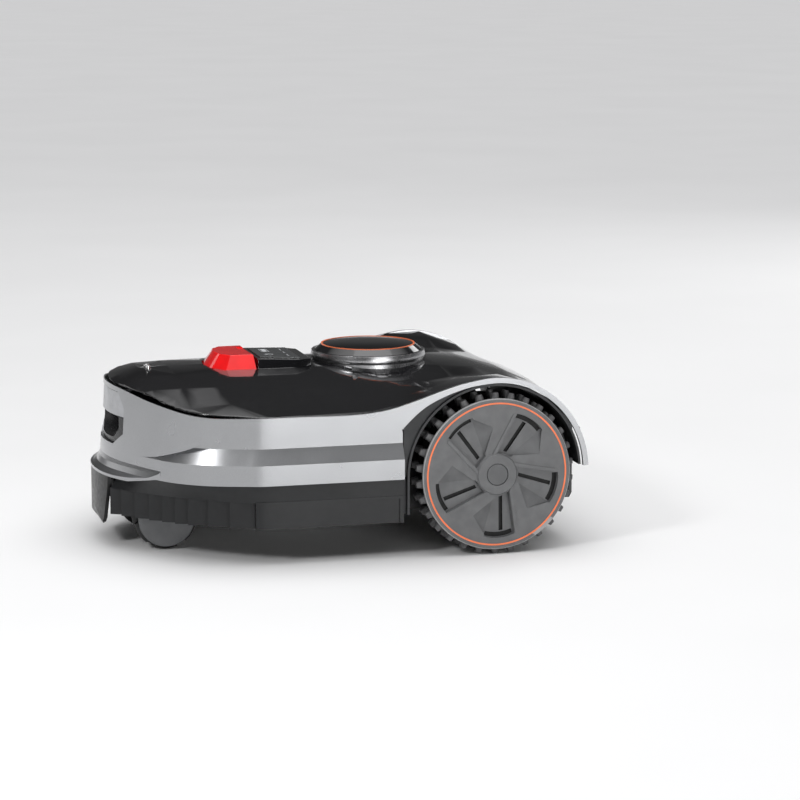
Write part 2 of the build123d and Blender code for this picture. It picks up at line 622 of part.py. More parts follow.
SPRING_LOW, SPRING_HIGH = 236.6, 251.4
with BuildPart() as stop_spring:
    with BuildLine():
        coil = Helix(pitch=(SPRING_HIGH - SPRING_LOW) / 4, height=SPRING_HIGH - SPRING_LOW, radius=7.0)
    with BuildSketch(Plane(origin=coil @ 0, z_dir=coil % 0)):
        Circle(0.8)
    sweep(is_frenet=True)
stop_spring.part = stop_spring.part.translate((0, stop_middle, SPRING_LOW))
finish(stop_spring.part, "stop_spring")

# ---------------------------------------------------------------- control panel and its display
with BuildPart() as control_panel:
    with BuildSketch(Plane.XY.offset(255)):
        Polygon((-69, PANEL_FRONT), (69, PANEL_FRONT), (71, -48), (55, PANEL_REAR), (-55, PANEL_REAR),
                (-71, -48), align=None)
    with BuildSketch(Plane.XY.offset(281)):
        Polygon((-58, PANEL_FRONT + 1), (58, PANEL_FRONT + 1), (63, -50), (50, PANEL_REAR - 1),
                (-50, PANEL_REAR - 1), (-63, -50), align=None)
    loft(ruled=True)
    with BuildSketch(Plane.YZ):
        Polygon((-130, 281.0), (-100, 280.2), (-15, 276.5), (-15, 300), (-130, 300), align=None)
    extrude(amount=100, both=True, mode=Mode.SUBTRACT)
    # it stops on the cover's upper face
    add(cover_top, mode=Mode.SUBTRACT)
finish(control_panel.part, "control_panel")

with BuildPart() as display_window:
    with BuildSketch(Plane.XY.offset(270)):
        Polygon((-47, -104), (47, -104), (53, -42), (-53, -42), align=None)
    extrude(amount=20)
    with BuildSketch(Plane.YZ):
        Polygon((-130, 281.75), (-100, 280.4), (-15, 276.7), (-15, 278.2), (-100, 281.9), (-130, 283.2),
                align=None)
    extrude(amount=100, both=True, mode=Mode.INTERSECT)
finish(display_window.part, "display_window")

# ---------------------------------------------------------------- antenna dome with its trim and light ring
TRIM_BOTTOM, TRIM_HIGH = 261.0, 280.5
RING_RADIUS = 72.3
RING_WIDTH = 2.6
RING_Z = 289.6

with BuildPart() as dome_trim_ring:
    with BuildSketch(Plane.XZ):
        Polygon((84, TRIM_BOTTOM), (87, TRIM_BOTTOM), (87, 267.5), (TRIM_RADIUS - 1, 269), (TRIM_RADIUS, 272),
                (TRIM_RADIUS - 1.5, TRIM_HIGH), (84, TRIM_HIGH), align=None)
    revolve(axis=Axis.Z)
dome_trim_ring.part = dome_trim_ring.part.translate((0, DOME_Y, 0))
finish(dome_trim_ring.part, "dome_trim_ring")

ring_in = RING_RADIUS - RING_WIDTH / 2 - 0.2
ring_out = RING_RADIUS + RING_WIDTH / 2 + 0.2
with BuildPart() as antenna_dome:
    with BuildSketch(Plane.XZ):
        with BuildLine():
            top = Spline([(0, 293), (40, 292.2), (ring_in, RING_Z)], tangents=[(1, 0), (1, -0.12)])
            Polyline([top @ 1, (ring_in, RING_Z - 3), (ring_out, RING_Z - 3), (ring_out, RING_Z - 0.4),
                      (83.7, TRIM_HIGH + 0.5), (83.7, 262), (0, 262), (0, 293)])
        make_face()
    revolve(axis=Axis.Z)
antenna_dome.part = antenna_dome.part.translate((0, DOME_Y, 0))
finish(antenna_dome.part, "antenna_dome")

with BuildPart() as dome_light_ring:
    with BuildSketch(Plane.XZ):
        with Locations((RING_RADIUS, RING_Z - 0.6)):
            Rectangle(RING_WIDTH, 2.4)
    revolve(axis=Axis.Z)
dome_light_ring.part = dome_light_ring.part.translate((0, DOME_Y, 0))
finish(dome_light_ring.part, "dome_light_ring")

# ---------------------------------------------------------------- wheel-arch liners
LINER_OUTER = 136.0
LINER_WALL = 3.5
LINER_INNER_X = 197.0
LINER_OUTER_X = 251.0
LINER_FACE_X = 243.0

with BuildPart() as arch_liner_left:
    with BuildSketch(Plane.YZ.offset(LINER_INNER_X)):
        with BuildLine():
            over = ThreePointArc(arch_point(LINER_OUTER, 3), arch_point(LINER_OUTER, 90),
                                 arch_point(LINER_OUTER, 180))
            Polyline([over @ 1, (AXLE_Y - LINER_OUTER, 66), (AXLE_Y - LINER_OUTER + LINER_WALL, 66),
                      arch_point(LINER_OUTER - LINER_WALL, 180)])
            under = ThreePointArc(arch_point(LINER_OUTER - LINER_WALL, 180),
                                  arch_point(LINER_OUTER - LINER_WALL, 90),
                                  arch_point(LINER_OUTER - LINER_WALL, 3))
            Line(under @ 1, over @ 0)
        make_face()
    extrude(amount=LINER_OUTER_X - LINER_INNER_X)
    # front face plate between the arch opening and the liner
    with BuildSketch(Plane.YZ.offset(LINER_FACE_X)):
        with BuildLine():
            face_edge = Spline(ARCH_FRONT[1:5], tangents=[(-1, -0.2), (-0.7, -0.8)])
            Polyline([face_edge @ 1, (71.5, 199), (71.5, 124), (AXLE_Y - LINER_OUTER + 1, 124)])
            back_arc = ThreePointArc((AXLE_Y - LINER_OUTER + 1, 124), arch_point(LINER_OUTER - 1, 140),
                                     arch_point(LINER_OUTER - 1, 108))
            Line(back_arc @ 1, face_edge @ 0)
        make_face()
    extrude(amount=3.0)
    # solid rib ahead of the wheel
    with BuildSketch(Plane.YZ.offset(206)):
        Polygon((72, 66), (AXLE_Y - LINER_OUTER + 2, 66), (AXLE_Y - LINER_OUTER + 2, 118), (72, 118),
                align=None)
    extrude(amount=38)
finish(arch_liner_left.part, "arch_liner_left")

with BuildPart() as arch_liner_right:
    add(arch_liner_left.part.mirror(Plane.YZ))
finish(arch_liner_right.part, "arch_liner_right")

# ---------------------------------------------------------------- rear panel with the charging contacts
CONTACT_X = 42.0
CONTACT_Z = 112.0
with BuildPart() as rear_panel:
    with BuildSketch(Plane.XZ.offset(-REAR_WALL_Y - GAP)):
        Polygon((-188, 66), (188, 66), (188, 186), (150, 203), (-150, 203), (-188, 186), align=None)
    extrude(amount=-(HALF_LENGTH - 1 - REAR_WALL_Y - GAP))
    chamfer(rear_panel.faces().sort_by(Axis.Y)[-1].edges(), 6)
    # charging pocket and a carrying grip
    with BuildSketch(Plane.XZ.offset(-HALF_LENGTH - 5)):
        with Locations((0, CONTACT_Z)):
            RectangleRounded(130, 40, 8)
        with Locations((0, 168)):
            RectangleRounded(150, 34, 12)
    extrude(amount=20, mode=Mode.SUBTRACT)
    with BuildSketch(Plane.XZ.offset(-HALF_LENGTH)):
        for x in (-CONTACT_X, CONTACT_X):
            with Locations((x, CONTACT_Z)):
                Rectangle(14.4, 24.4)
    extrude(amount=40, mode=Mode.SUBTRACT)
finish(rear_panel.part, "rear_panel")

with BuildPart() as charging_contacts:
    with BuildSketch(Plane.XZ.offset(-REAR_WALL_Y - 2)):
        for x in (-CONTACT_X, CONTACT_X):
            with Locations((x, CONTACT_Z)):
                Rectangle(14, 24)
    extrude(amount=-9)
    fillet(charging_contacts.edges().filter_by(Axis.Z).group_by(Axis.Y)[-1], 2)
finish(charging_contacts.part, "charging_contacts")

# ---------------------------------------------------------------- rear wheels
TYRE_OUTER_X = 257.0
TYRE_BASE_RADIUS = 107.0
STUD_COUNT = 30
STUD_ROWS = (248.0, 219.0)
DISC_RADIUS = 112.0
FACE_RIM_RADIUS = 115.0
LIGHT_LINE_RADIUS = 107.8
DISC_BACK_X = 247.0
POCKET_COUNT = 5
POCKET_ANGLE = 57.0
BOSS_RADIUS = 29.0
CAP_RADIUS = 16.3
HUB_RADIUS = 42.0


def polar(radius, angle):
    """Point of the wheel's face, angle from straight back."""
    return (radius * cos(radians(angle)), radius * sin(radians(angle)))


def face_plane(x):
    """Plane parallel to the wheel's face, centred on the axle."""
    return Plane(origin=(x, AXLE_Y, AXLE_Z), x_dir=(0, 1, 0), z_dir=(1, 0, 0))


with BuildPart() as wheel_disc_left:
    with BuildSketch(face_plane(DISC_BACK_X)):
        Circle(DISC_RADIUS - 7)
    extrude(amount=WHEEL_FACE_X - DISC_BACK_X)
    with BuildSketch(face_plane(TYRE_OUTER_X + 0.5)):
        Circle(FACE_RIM_RADIUS)
    extrude(amount=WHEEL_FACE_X - TYRE_OUTER_X - 0.5)
    chamfer(wheel_disc_left.faces().sort_by(Axis.X)[-1].edges(), 1.2)
    # rim well behind the face, and the hub
    with BuildSketch(face_plane(WHEEL_INNER_X + 5.2)):
        Circle(DISC_RADIUS - 7)
        Circle(DISC_RADIUS - 12, mode=Mode.SUBTRACT)
        Circle(HUB_RADIUS)
    extrude(amount=DISC_BACK_X - WHEEL_INNER_X - 5.2)
    # groove of the coloured line
    with BuildSketch(face_plane(WHEEL_FACE_X - 1.2)):
        Circle(LIGHT_LINE_RADIUS + 1.3)
        Circle(LIGHT_LINE_RADIUS - 1.3, mode=Mode.SUBTRACT)
    extrude(amount=2, mode=Mode.SUBTRACT)
    # swirled pockets with two slats each
    for k in range(POCKET_COUNT):
        middle = POCKET_ANGLE + k * 360 / POCKET_COUNT
        outer_a, outer_b = polar(96, middle - 15), polar(96, middle + 14)
        inner_a, inner_b = polar(34, middle - 8), polar(33, middle + 32)
        with BuildSketch(face_plane(WHEEL_FACE_X - 8)):
            with BuildLine():
                ThreePointArc(outer_a, polar(97.5, middle), outer_b)
                Line(outer_b, inner_b)
                ThreePointArc(inner_b, polar(31, middle + 10), inner_a)
                Line(inner_a, outer_a)
            make_face()
        extrude(amount=10, mode=Mode.SUBTRACT)
        # dark slot between the slats
        with BuildSketch(face_plane(WHEEL_FACE_X - 12)):
            Polygon(polar(88, middle + 0.5), polar(88, middle + 4.5), polar(36, middle + 14),
                    polar(36, middle + 5), align=None)
        extrude(amount=20, mode=Mode.SUBTRACT)
        # crescent at the pocket's outer end
        with BuildSketch(face_plane(WHEEL_FACE_X - 10)):
            with BuildLine():
                ThreePointArc(polar(95.5, middle - 14), polar(97, middle), polar(95.5, middle + 13))
                Line(polar(95.5, middle + 13), polar(89, middle + 13))
                ThreePointArc(polar(89, middle + 13), polar(90, middle), polar(89, middle - 13.5))
                Line(polar(89, middle - 13.5), polar(95.5, middle - 14))
            make_face()
        extrude(amount=20, mode=Mode.SUBTRACT)
        # sloping facet on the spoke beside the pocket
        tip = polar(72, middle - 34)
        corner = (WHEEL_FACE_X - 7.9, outer_a[0], outer_a[1])
        root = (WHEEL_FACE_X - 7.9, inner_a[0], inner_a[1])
        high = (WHEEL_FACE_X, tip[0], tip[1])
        tilt = Plane(origin=(corner[0], corner[1] + AXLE_Y, corner[2] + AXLE_Z),
                     x_dir=(0, root[1] - corner[1], root[2] - corner[2]),
                     z_dir=(Vector(*root) - Vector(*corner)).cross(Vector(*high) - Vector(*corner)) * -1)
        points = [tilt.to_local_coords(Vector(p[0], p[1] + AXLE_Y, p[2] + AXLE_Z))
                  for p in (corner, root, high)]
        with BuildSketch(tilt):
            Polygon(*[(p.X, p.Y) for p in points], align=None)
        extrude(amount=15 if tilt.z_dir.X > 0 else -15, mode=Mode.SUBTRACT)
        # narrow raised rib along the pocket's straight side
        with BuildSketch(face_plane(WHEEL_FACE_X - 5)):
            Polygon(polar(94, middle + 14.5), polar(94, middle + 17.5), polar(31, middle + 48),
                    polar(31, middle + 36), align=None)
        extrude(amount=6.5)
    # swelling boss in the middle
    with BuildSketch(face_plane(DISC_BACK_X)):
        Circle(BOSS_RADIUS + 3)
    extrude(amount=WHEEL_FACE_X - DISC_BACK_X)
    with BuildSketch(face_plane(WHEEL_FACE_X)):
        Circle(BOSS_RADIUS + 3)
    extrude(amount=3, taper=40)
    with BuildSketch(face_plane(WHEEL_FACE_X - 2)):
        Circle(CAP_RADIUS + 0.6)
    extrude(amount=8, mode=Mode.SUBTRACT)
    with BuildSketch(face_plane(WHEEL_INNER_X)):
        Circle(AXLE_RADIUS)
    extrude(amount=WHEEL_FACE_X - 8 - WHEEL_INNER_X, mode=Mode.SUBTRACT)
finish(wheel_disc_left.part, "wheel_disc_left")

with BuildPart() as wheel_ring_left:
    with BuildSketch(face_plane(WHEEL_FACE_X - 1.2)):
        Circle(LIGHT_LINE_RADIUS + 1.2)
        Circle(LIGHT_LINE_RADIUS - 1.2, mode=Mode.SUBTRACT)
    extrude(amount=1.5)
finish(wheel_ring_left.part, "wheel_ring_left")

with BuildPart() as hub_cap_left:
    with BuildSketch(face_plane(WHEEL_FACE_X - 2)):
        Circle(CAP_RADIUS)
    extrude(amount=5.2)
    fillet(hub_cap_left.faces().sort_by(Axis.X)[-1].edges(), 1.5)
finish(hub_cap_left.part, "hub_cap_left")

with BuildPart() as stud:
    with BuildSketch(Plane.XY.offset(TYRE_BASE_RADIUS)):
        RectangleRounded(16, 15, 5)
    with BuildSketch(Plane.XY.offset(TYRE_RADIUS - 0.2)):
        RectangleRounded(10, 9, 3)
    loft(ruled=True)
    with BuildSketch(Plane.YZ):
        Circle(TYRE_RADIUS)
    extrude(amount=30, both=True, mode=Mode.INTERSECT)

with BuildPart() as tyre_left:
    with BuildSketch(Plane.XY):
        with BuildLine():
            Polyline([(WHEEL_INNER_X, 106), (WHEEL_INNER_X + 1, 101), (WHEEL_INNER_X + 5, 100.2),
                      (WHEEL_INNER_X + 5, 105.3), (TYRE_OUTER_X - 3, 105.3), (TYRE_OUTER_X, 106),
                      (TYRE_OUTER_X, 110), (TYRE_OUTER_X - 5, 112), (235, 108),
                      (WHEEL_INNER_X + 5, 111), (WHEEL_INNER_X, 106)])
        make_face()
    revolve(axis=Axis.X)
    add([stud.part.translate((row_x, 0, 0)).rotate(Axis.X, k * 360 / STUD_COUNT)
         for row_x in STUD_ROWS for k in range(STUD_COUNT)])
tyre_left.part = tyre_left.part.translate((0, AXLE_Y, AXLE_Z))
finish(tyre_left.part, "tyre_left")

with BuildPart() as drive_axle_left:
    with BuildSketch(face_plane(182)):
        Circle(AXLE_RADIUS)
    extrude(amount=WHEEL_FACE_X - 8 - 182)
finish(drive_axle_left.part, "drive_axle_left")

GEARBOX_X = (128.0, REAR_BOX_HALF - WALL)
with BuildPart() as drive_motor_left:
    with BuildSketch(face_plane(GEARBOX_X[0])):
        Circle(36)
    extrude(amount=GEARBOX_X[1] - GEARBOX_X[0] - 0.3)
    with BuildSketch(face_plane(GEARBOX_X[1] - 0.3)):
        Circle(19.5)
    extrude(amount=9)
    with BuildSketch(face_plane(102)):
        Circle(20)
    extrude(amount=26)
    with BuildSketch(face_plane(181.5)):
        Circle(AXLE_RADIUS + 0.05)
    extrude(amount=30, mode=Mode.SUBTRACT)
    fillet(drive_motor_left.edges().filter_by(GeomType.CIRCLE).sort_by(Axis.X)[0], 3)
finish(drive_motor_left.part, "drive_motor_left")

for left in (wheel_disc_left, wheel_ring_left, hub_cap_left, tyre_left, drive_axle_left, drive_motor_left):
    finish(left.part.mirror(Plane.YZ), left.part.label.replace("_left", "_right"))

# ---------------------------------------------------------------- omni wheels
ROLLERS_PER_ROW = 6
ROLLER_RADIUS = 9.0
ROLLER_CENTRE = OMNI_RADIUS - ROLLER_RADIUS
OMNI_ROWS = (OMNI_FACE_X - 13.5, OMNI_FACE_X - 34.0)
OMNI_AXLE_RADIUS = 5.0


def omni_plane(x):
    """Plane parallel to an omni wheel's face, centred on its axle."""
    return Plane(origin=(x, OMNI_Y, OMNI_RADIUS), x_dir=(0, 1, 0), z_dir=(1, 0, 0))


def roller_tool(radius_gap):
    """Barrel roller lying along the rim, its bulge following the wheel's outer circle."""
    half = 0.5 * 2 * ROLLER_CENTRE * sin(pi / ROLLERS_PER_ROW) - 3.0 + radius_gap
    end_radius = ROLLER_RADIUS - (OMNI_RADIUS - sqrt(OMNI_RADIUS ** 2 - half ** 2)) + radius_gap
    with BuildPart() as barrel:
        with BuildSketch(Plane.XY):
            with BuildLine():
                ThreePointArc((-half, end_radius), (0, ROLLER_RADIUS + radius_gap), (half, end_radius))
                Polyline([(half, end_radius), (half, 0), (-half, 0), (-half, end_radius)])
            make_face()
        revolve(axis=Axis.X)
    return barrel.part.rotate(Axis.Z, 90).translate((0, 0, ROLLER_CENTRE))


roller = roller_tool(0.0)
roller_room = roller_tool(1.0)
roller_places = []
for row, row_x in enumerate(OMNI_ROWS):
    for k in range(ROLLERS_PER_ROW):
        roller_places.append((row_x, (k + row / 2) * 360 / ROLLERS_PER_ROW))

with BuildPart() as omni_hub_left:
    with BuildSketch(omni_plane(OMNI_FACE_X - OMNI_WIDTH + 2)):
        Circle(36)
    extrude(amount=OMNI_WIDTH - 2 - 4)
    add([roller_room.translate((row_x, 0, 0)).rotate(Axis.X, angle).translate((0, OMNI_Y, OMNI_RADIUS))
         for row_x, angle in roller_places], mode=Mode.SUBTRACT)
    with BuildSketch(omni_plane(OMNI_FACE_X - 4)):
        Circle(43)
    extrude(amount=4)
    chamfer(omni_hub_left.faces().sort_by(Axis.X)[-1].edges(), 1.0)
    with BuildSketch(omni_plane(OMNI_FACE_X - OMNI_WIDTH)):
        Circle(14)
    extrude(amount=4)
    with BuildSketch(omni_plane(OMNI_FACE_X - OMNI_WIDTH)):
        Circle(OMNI_AXLE_RADIUS + 0.05)
    extrude(amount=OMNI_WIDTH - 5, mode=Mode.SUBTRACT)
finish(omni_hub_left.part, "omni_hub_left")

with BuildPart() as omni_rollers_left:
    add([roller.translate((row_x, 0, 0)).rotate(Axis.X, angle).translate((0, OMNI_Y, OMNI_RADIUS))
         for row_x, angle in roller_places])
finish(omni_rollers_left.part, "omni_rollers_left")

BRACKET_X = 46.0
with BuildPart() as omni_bracket_left:
    with BuildSketch(Plane.YZ.offset(BRACKET_X)):
        with BuildLine():
            Polyline([(OMNI_Y - 28, WELL_TOP), (OMNI_Y + 28, WELL_TOP), (OMNI_Y + 16, OMNI_RADIUS)])
            ThreePointArc((OMNI_Y + 16, OMNI_RADIUS), (OMNI_Y, OMNI_RADIUS - 16), (OMNI_Y - 16, OMNI_RADIUS))
            Line((OMNI_Y - 16, OMNI_RADIUS), (OMNI_Y - 28, WELL_TOP))
        make_face()
    extrude(amount=8)
    with Locations((58, OMNI_Y, WELL_TOP)):
        Box(34, 56, 4, align=(Align.CENTER, Align.CENTER, Align.MAX))
    with BuildSketch(omni_plane(BRACKET_X)):
        Circle(OMNI_AXLE_RADIUS)
    extrude(amount=8, mode=Mode.SUBTRACT)
finish(omni_bracket_left.part, "omni_bracket_left")

with BuildPart() as omni_axles:
    for side in SIDES:
        with BuildSketch(omni_plane(side * (BRACKET_X - 3))):
            Circle(8)
        extrude(amount=side * 3)
        with BuildSketch(omni_plane(side * BRACKET_X)):
            Circle(OMNI_AXLE_RADIUS)
        extrude(amount=side * (OMNI_FACE_X - 6 - BRACKET_X))
finish(omni_axles.part, "omni_axles")

for left in (omni_hub_left, omni_rollers_left, omni_bracket_left):
    finish(left.part.mirror(Plane.YZ), left.part.label.replace("_left", "_right"))

# ---------------------------------------------------------------- cutting system
BLADE_THICKNESS = 1.0
BLADE_LENGTH = 36.0
CUTTER_PLATE = 3.0
SHAFT_RADIUS = 6.0
MOTOR_RADIUS = 35.0
MOTOR_BOTTOM = 108.0
MOTOR_HEIGHT = 52.0
CARRIAGE_Z = 136.0
CARRIAGE_PLATE = 8.0
ROD_X = 52.0
ROD_RADIUS = 5.0
SCREW_Y = DECK_Y + 54.0
ROD_BOTTOM = DECK_CEILING + WALL
ROD_TOP = 212.0
DISC_TOP = CUTTER_Z + CUTTER_PLATE

with BuildPart() as cutter_disc:
    with BuildSketch(Plane.XY.offset(CUTTER_Z)):
        with Locations((0, DECK_Y)):
            Circle(CUTTER_RADIUS)
            with PolarLocations(55, 3):
                SlotOverall(34, 12, rotation=90, mode=Mode.SUBTRACT)
            with PolarLocations(BLADE_PIVOT_RADIUS, BLADE_COUNT):
                Circle(2.0, mode=Mode.SUBTRACT)
    extrude(amount=CUTTER_PLATE)
    with Locations((0, DECK_Y, DISC_TOP)):
        Cylinder(26, 8, align=(Align.CENTER, Align.CENTER, Align.MIN))
    # spindle up into the motor
    with Locations((0, DECK_Y, DISC_TOP + 8)):
        Cylinder(SHAFT_RADIUS, MOTOR_BOTTOM + 20 - DISC_TOP - 8,
                 align=(Align.CENTER, Align.CENTER, Align.MIN))
finish(cutter_disc.part, "cutter_disc")

with BuildPart() as blade_screws:
    with Locations((0, DECK_Y, 0)):
        with PolarLocations(BLADE_PIVOT_RADIUS, BLADE_COUNT):
            with Locations((0, 0, CUTTER_Z - 1.6)):
                Cylinder(3.0, 1.6, align=(Align.CENTER, Align.CENTER, Align.MIN))
                Cylinder(2.0, 6.6, align=(Align.CENTER, Align.CENTER, Align.MIN))
                Cylinder(4.5, 2.0, align=(Align.CENTER, Align.CENTER, Align.MAX))
finish(blade_screws.part, "blade_screws")

for k in range(BLADE_COUNT):
    angle = k * 360 / BLADE_COUNT
    with BuildPart() as blade:
        with BuildSketch(Plane.XY.offset(CUTTER_Z - 1.3)):
            with Locations((BLADE_PIVOT_RADIUS + BLADE_LENGTH / 2 - 7, 0)):
                Rectangle(BLADE_LENGTH, 17)
            with Locations((BLADE_PIVOT_RADIUS, 0)):
                Circle(3.05, mode=Mode.SUBTRACT)
        extrude(amount=BLADE_THICKNESS)
        chamfer(blade.edges().filter_by(Axis.Z).group_by(Axis.X)[-1], 3)
    finish(blade.part.rotate(Axis.Z, angle).translate((0, DECK_Y, 0)), f"blade_{k + 1}")

with BuildPart() as cutting_motor:
    with Locations((0, DECK_Y, MOTOR_BOTTOM)):
        Cylinder(MOTOR_RADIUS, MOTOR_HEIGHT, align=(Align.CENTER, Align.CENTER, Align.MIN))
        Cylinder(SHAFT_RADIUS + 0.05, 20.5, align=(Align.CENTER, Align.CENTER, Align.MIN), mode=Mode.SUBTRACT)
    fillet(cutting_motor.edges().group_by(Axis.Z)[-1], 4)
finish(cutting_motor.part, "cutting_motor")

with BuildPart() as height_carriage:
    with BuildSketch(Plane.XY.offset(CARRIAGE_Z)):
        with Locations((0, (DECK_Y + SCREW_Y) / 2 + 4)):
            RectangleRounded(2 * ROD_X + 30, SCREW_Y - DECK_Y + 60, 12)
        with Locations((0, DECK_Y)):
            Circle(MOTOR_RADIUS, mode=Mode.SUBTRACT)
    extrude(amount=CARRIAGE_PLATE)
    with BuildSketch(Plane.XY.offset(CARRIAGE_Z)):
        for x in (-ROD_X, ROD_X):
            with Locations((x, DECK_Y)):
                Circle(9)
        with Locations((0, SCREW_Y)):
            Circle(9)
    extrude(amount=24)
    with BuildSketch(Plane.XY.offset(CARRIAGE_Z)):
        for x in (-ROD_X, ROD_X):
            with Locations((x, DECK_Y)):
                Circle(ROD_RADIUS + 0.05)
        with Locations((0, SCREW_Y)):
            Circle(ROD_RADIUS + 0.05)
    extrude(amount=24, mode=Mode.SUBTRACT)
finish(height_carriage.part, "height_carriage")

with BuildPart() as guide_rods:
    for x in (-ROD_X, ROD_X):
        with Locations((x, DECK_Y, ROD_BOTTOM)):
            Cylinder(ROD_RADIUS, ROD_TOP - ROD_BOTTOM, align=(Align.CENTER, Align.CENTER, Align.MIN))
finish(guide_rods.part, "guide_rods")

with BuildPart() as height_leadscrew:
    with Locations((0, SCREW_Y, ROD_BOTTOM + 0.5)):
        Cylinder(ROD_RADIUS, ROD_TOP + 10 - ROD_BOTTOM - 0.5, align=(Align.CENTER, Align.CENTER, Align.MIN))
finish(height_leadscrew.part, "height_leadscrew")

with BuildPart() as height_motor:
    with BuildSketch(Plane.XY.offset(ROD_TOP)):
        with Locations((0, (DECK_Y + SCREW_Y) / 2 + 4)):
            RectangleRounded(2 * ROD_X + 24, SCREW_Y - DECK_Y + 40, 10)
        with Locations((0, DECK_Y)):
            Circle(MOTOR_RADIUS + 3, mode=Mode.SUBTRACT)
    extrude(amount=4)
    with Locations((0, SCREW_Y, ROD_TOP + 4)):
        Cylinder(15, 30, align=(Align.CENTER, Align.CENTER, Align.MIN))
    with Locations((0, SCREW_Y, ROD_TOP)):
        Cylinder(ROD_RADIUS + 0.05, 10.5, align=(Align.CENTER, Align.CENTER, Align.MIN), mode=Mode.SUBTRACT)
finish(height_motor.part, "height_motor")
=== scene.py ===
"""Robotic lawn mower: finished pieces, finishes and studio for the mower's frame."""

import json
from math import cos, radians, sin

import bpy
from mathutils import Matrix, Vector


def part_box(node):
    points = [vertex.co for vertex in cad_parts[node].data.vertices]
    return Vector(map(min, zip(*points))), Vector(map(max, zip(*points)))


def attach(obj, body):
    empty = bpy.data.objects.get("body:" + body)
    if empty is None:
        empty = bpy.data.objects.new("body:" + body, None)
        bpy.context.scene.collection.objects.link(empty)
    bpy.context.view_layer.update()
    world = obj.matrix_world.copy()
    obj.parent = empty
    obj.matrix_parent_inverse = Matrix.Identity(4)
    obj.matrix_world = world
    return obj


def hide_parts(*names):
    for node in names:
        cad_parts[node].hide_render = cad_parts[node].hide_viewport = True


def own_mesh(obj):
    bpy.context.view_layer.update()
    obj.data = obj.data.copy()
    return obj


bl_info = {
    "name": "Robotic Lawn Mower",
    "version": (1, 0, 0),
    "blender": (4, 5, 0),
    "location": "3D View > Sidebar > Mower",
    "description": "Finishes the mower's pieces and sets up its studio",
    "category": "Object",
}

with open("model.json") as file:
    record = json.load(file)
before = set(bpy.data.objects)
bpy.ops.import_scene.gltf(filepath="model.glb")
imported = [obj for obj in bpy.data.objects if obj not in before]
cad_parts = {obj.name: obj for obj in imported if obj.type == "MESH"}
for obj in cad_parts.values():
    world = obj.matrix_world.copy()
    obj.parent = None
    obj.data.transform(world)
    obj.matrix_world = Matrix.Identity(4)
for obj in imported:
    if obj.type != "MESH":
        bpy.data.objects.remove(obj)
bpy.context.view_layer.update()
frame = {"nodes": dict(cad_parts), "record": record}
record = frame["record"]
BODY_OF = {node: body for body, nodes in record["behaviour"]["bodies"].items() for node in nodes}
SLOT_OF = {part["node"]: part["material_slot"] for part in record["subparts"]}

# metres, then degrees: what is welded, dropped, joined, kept sharp and rounded on a finished piece
WELD = 0.00003
SLIVER = 0.00008
FLAT_ANGLE = 0.4
SHARP_ANGLE = 30.0
ROUND_ANGLE = 35.0

# printed marks on the display, and how far its face falls towards the rear, in metres
MARK_HEIGHT = 0.00025
DISPLAY_FALL = 0.0027

# name, place, target, width and height in metres, power in watts
LIGHTS = (
    ("overhead", (0.0, 0.4, 3.0), (0, 0.1, 0.1), 2.2, 2.0, 14),
    ("key", (2.0, -2.6, 2.4), (0, 0, 0.12), 0.7, 0.7, 44),
    ("side_wall", (5.4, 1.3, 0.62), (0, 0.1, 0.20), 3.0, 1.2, 88),
    ("nose_card", (-3.4, -3.6, 1.5), (0, -0.2, 0.2), 2.6, 1.4, 12),
    ("rear", (-2.6, 3.4, 2.0), (0, 0.1, 0.15), 2.0, 1.4, 24),
)

# camera place in metres, its turn and rise from the left side in degrees, its lens in millimetres
CAMERA_PLACE = (4.18976, -0.98641, 0.94024)
CAMERA_TURN = 14.937
CAMERA_RISE = 9.736
CAMERA_LENS = 125.5


# ---------------------------------------------------------------- settings
class MowerSizes(bpy.types.PropertyGroup):
    """Sizes of the finishing details."""

    edge_round: bpy.props.FloatProperty(
        name="Edge rounding", description="Width of the small rounding on moulded edges",
        default=0.0007, min=0.0, unit="LENGTH")
    fine_round: bpy.props.FloatProperty(
        name="Fine rounding", description="Width of the rounding on small hard parts",
        default=0.0003, min=0.0, unit="LENGTH")
    grain: bpy.props.FloatProperty(
        name="Moulding grain", description="Size of the grain on textured plastic",
        default=0.0009, min=0.0001, unit="LENGTH")
    flake: bpy.props.FloatProperty(
        name="Metallic flake", description="Size of the flakes in the silver finish",
        default=0.0006, min=0.0001, unit="LENGTH")
    floor_width: bpy.props.FloatProperty(
        name="Floor width", description="Width of the studio floor",
        default=400.0, min=2.0, unit="LENGTH")


class MowerColours(bpy.types.PropertyGroup):
    """Colours of the mower's finishes."""

    silver: bpy.props.FloatVectorProperty(
        name="Shell silver", description="Metallic silver grey of the shell", subtype="COLOR", size=3,
        default=(0.36, 0.365, 0.375))
    black: bpy.props.FloatVectorProperty(
        name="Gloss black", description="Top cover, panel and dome", subtype="COLOR", size=3,
        default=(0.006, 0.006, 0.007))
    red: bpy.props.FloatVectorProperty(
        name="Stop red", description="Stop button", subtype="COLOR", size=3,
        default=(0.92, 0.008, 0.010))
    orange: bpy.props.FloatVectorProperty(
        name="Line orange", description="Rings on the wheels and the dome", subtype="COLOR", size=3,
        default=(0.90, 0.20, 0.07))
    skirt: bpy.props.FloatVectorProperty(
        name="Skirt grey", description="Side skirts and liners", subtype="COLOR", size=3,
        default=(0.012, 0.0125, 0.0135))
    wheel: bpy.props.FloatVectorProperty(
        name="Wheel grey", description="Driven wheels' discs", subtype="COLOR", size=3,
        default=(0.125, 0.127, 0.13))
    wheel_rim: bpy.props.FloatVectorProperty(
        name="Rim grey", description="Light edge of the driven wheels", subtype="COLOR", size=3,
        default=(0.34, 0.34, 0.34))
    tyre: bpy.props.FloatVectorProperty(
        name="Tyre black", description="Tyres and rollers", subtype="COLOR", size=3,
        default=(0.016, 0.016, 0.016))


